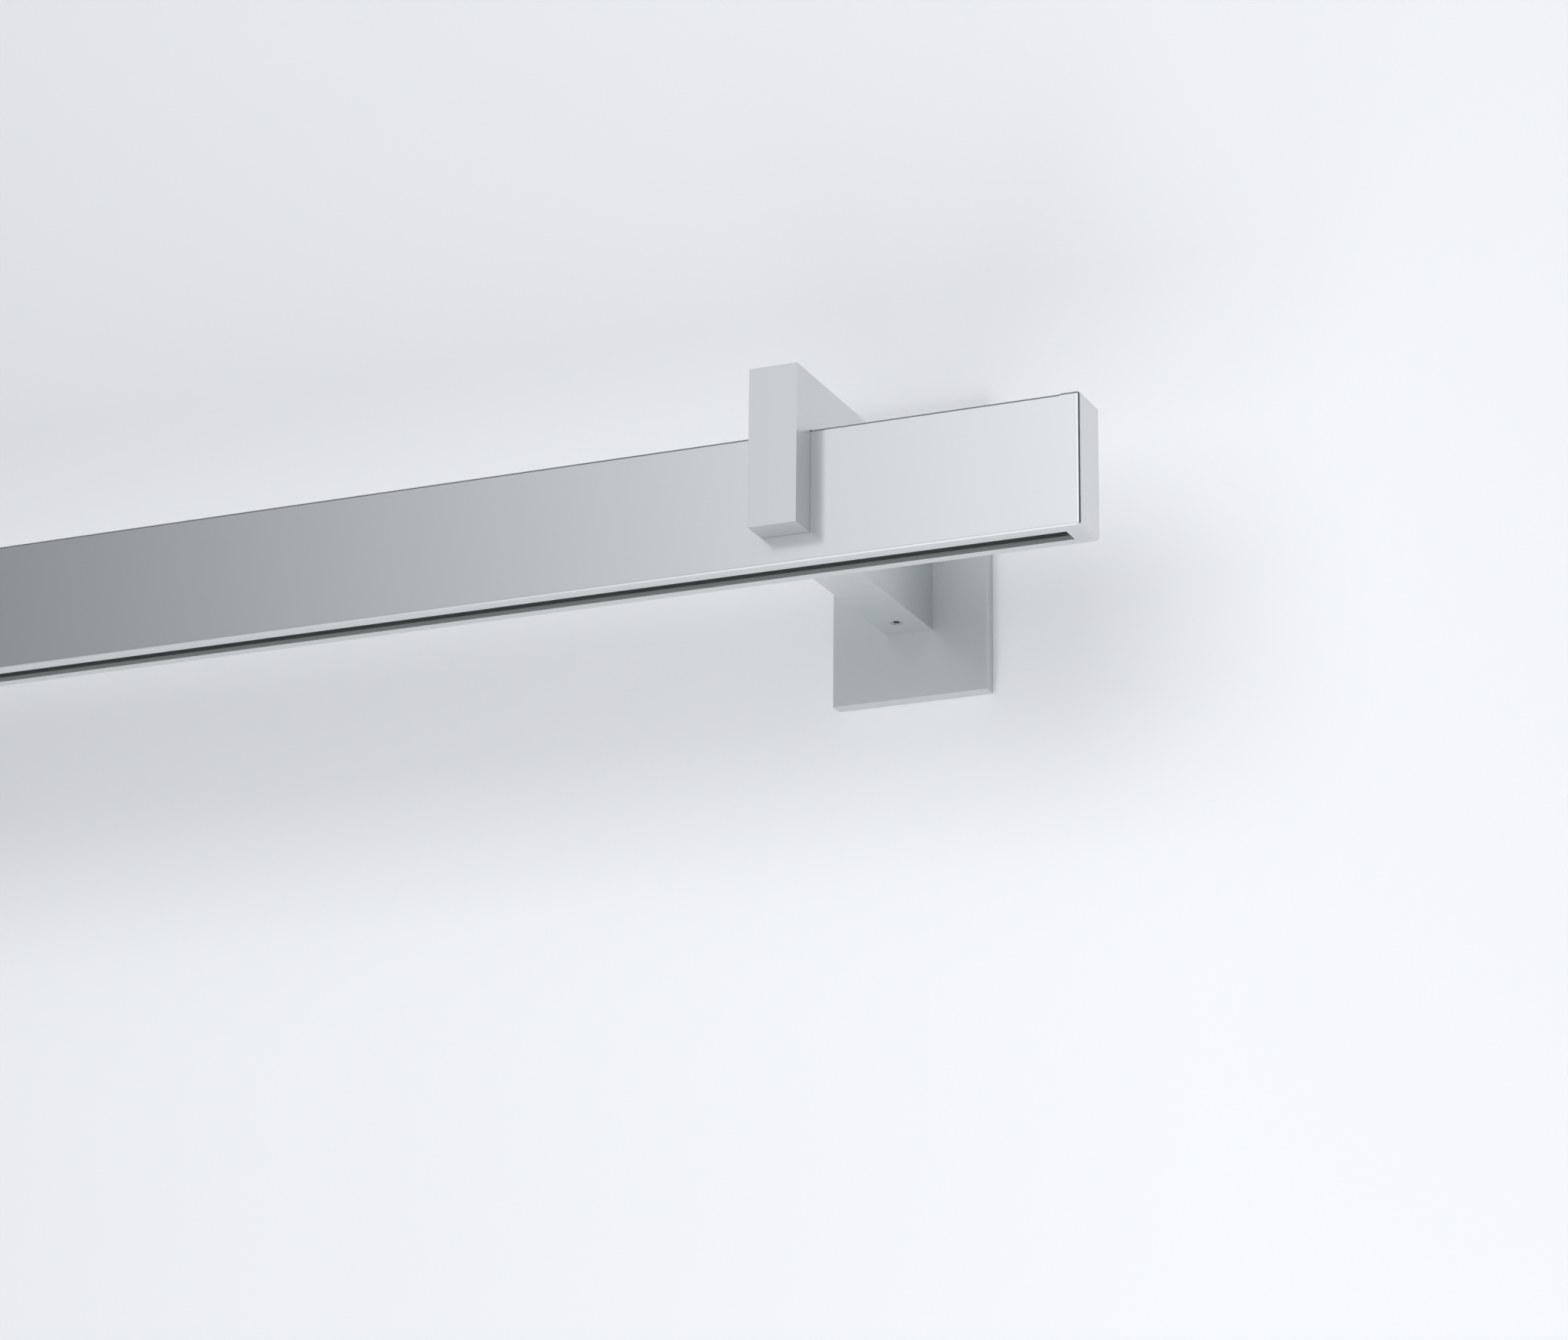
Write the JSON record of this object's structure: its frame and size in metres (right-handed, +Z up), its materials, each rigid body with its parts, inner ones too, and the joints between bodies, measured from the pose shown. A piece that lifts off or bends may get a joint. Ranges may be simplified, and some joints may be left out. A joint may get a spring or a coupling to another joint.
{
  "type": "inner track curtain rod",
  "caption": "Rectangular aluminium curtain rod with a running slot in its underside, on wall brackets that hook over it, with gliders for curtain hooks.",
  "frame": {"origin": "on the wall plane, at the centre of the rectangle of wall-screw holes, midway between the brackets", "axes": "+X along the rod, to the right as seen from the room; +Y into the wall; +Z up"},
  "size_m": [1, 0.1101, 0.09],
  "materials": {
    "rod_aluminium": "satin anodised",
    "cap_aluminium": "satin anodised",
    "arm_aluminium": "satin anodised",
    "plate_aluminium": "satin anodised",
    "base_steel": "zinc plated",
    "screw_steel": "zinc plated",
    "nut_steel": "zinc plated",
    "glider_plastic": "moulded"
  },
  "bodies": {
    "rod": {"track_profile": "rod_aluminium", "end_cap_left": "cap_aluminium", "end_cap_right": "cap_aluminium", "bracket_arm_left": "arm_aluminium", "cover_plate_left": "plate_aluminium", "wall_base_left": "base_steel", "arm_grub_screw_left": "screw_steel", "clamp_screw_left": "screw_steel", "clamp_nut_left": "nut_steel", "bracket_arm_right": "arm_aluminium", "cover_plate_right": "plate_aluminium", "wall_base_right": "base_steel", "arm_grub_screw_right": "screw_steel", "clamp_screw_right": "screw_steel", "clamp_nut_right": "nut_steel"},
    "glider_01": {"glider_01": "glider_plastic"},
    "glider_02": {"glider_02": "glider_plastic"},
    "glider_03": {"glider_03": "glider_plastic"},
    "glider_04": {"glider_04": "glider_plastic"},
    "glider_05": {"glider_05": "glider_plastic"},
    "glider_06": {"glider_06": "glider_plastic"},
    "glider_07": {"glider_07": "glider_plastic"},
    "glider_08": {"glider_08": "glider_plastic"},
    "glider_09": {"glider_09": "glider_plastic"},
    "glider_10": {"glider_10": "glider_plastic"}
  },
  "joints": [
    {"name": "glider_01_slide", "type": "slide", "parent": "rod", "child": "glider_01", "axis": [1, 0, 0], "range_m": [-0.022, 0.022]},
    {"name": "glider_02_slide", "type": "slide", "parent": "rod", "child": "glider_02", "axis": [1, 0, 0], "range_m": [-0.022, 0.022]},
    {"name": "glider_03_slide", "type": "slide", "parent": "rod", "child": "glider_03", "axis": [1, 0, 0], "range_m": [-0.022, 0.022]},
    {"name": "glider_04_slide", "type": "slide", "parent": "rod", "child": "glider_04", "axis": [1, 0, 0], "range_m": [-0.022, 0.022]},
    {"name": "glider_05_slide", "type": "slide", "parent": "rod", "child": "glider_05", "axis": [1, 0, 0], "range_m": [-0.022, 0.022]},
    {"name": "glider_06_slide", "type": "slide", "parent": "rod", "child": "glider_06", "axis": [1, 0, 0], "range_m": [-0.022, 0.022]},
    {"name": "glider_07_slide", "type": "slide", "parent": "rod", "child": "glider_07", "axis": [1, 0, 0], "range_m": [-0.022, 0.022]},
    {"name": "glider_08_slide", "type": "slide", "parent": "rod", "child": "glider_08", "axis": [1, 0, 0], "range_m": [-0.022, 0.022]},
    {"name": "glider_09_slide", "type": "slide", "parent": "rod", "child": "glider_09", "axis": [1, 0, 0], "range_m": [-0.022, 0.022]},
    {"name": "glider_10_slide", "type": "slide", "parent": "rod", "child": "glider_10", "axis": [1, 0, 0], "range_m": [-0.022, 0.416]}
  ]
}
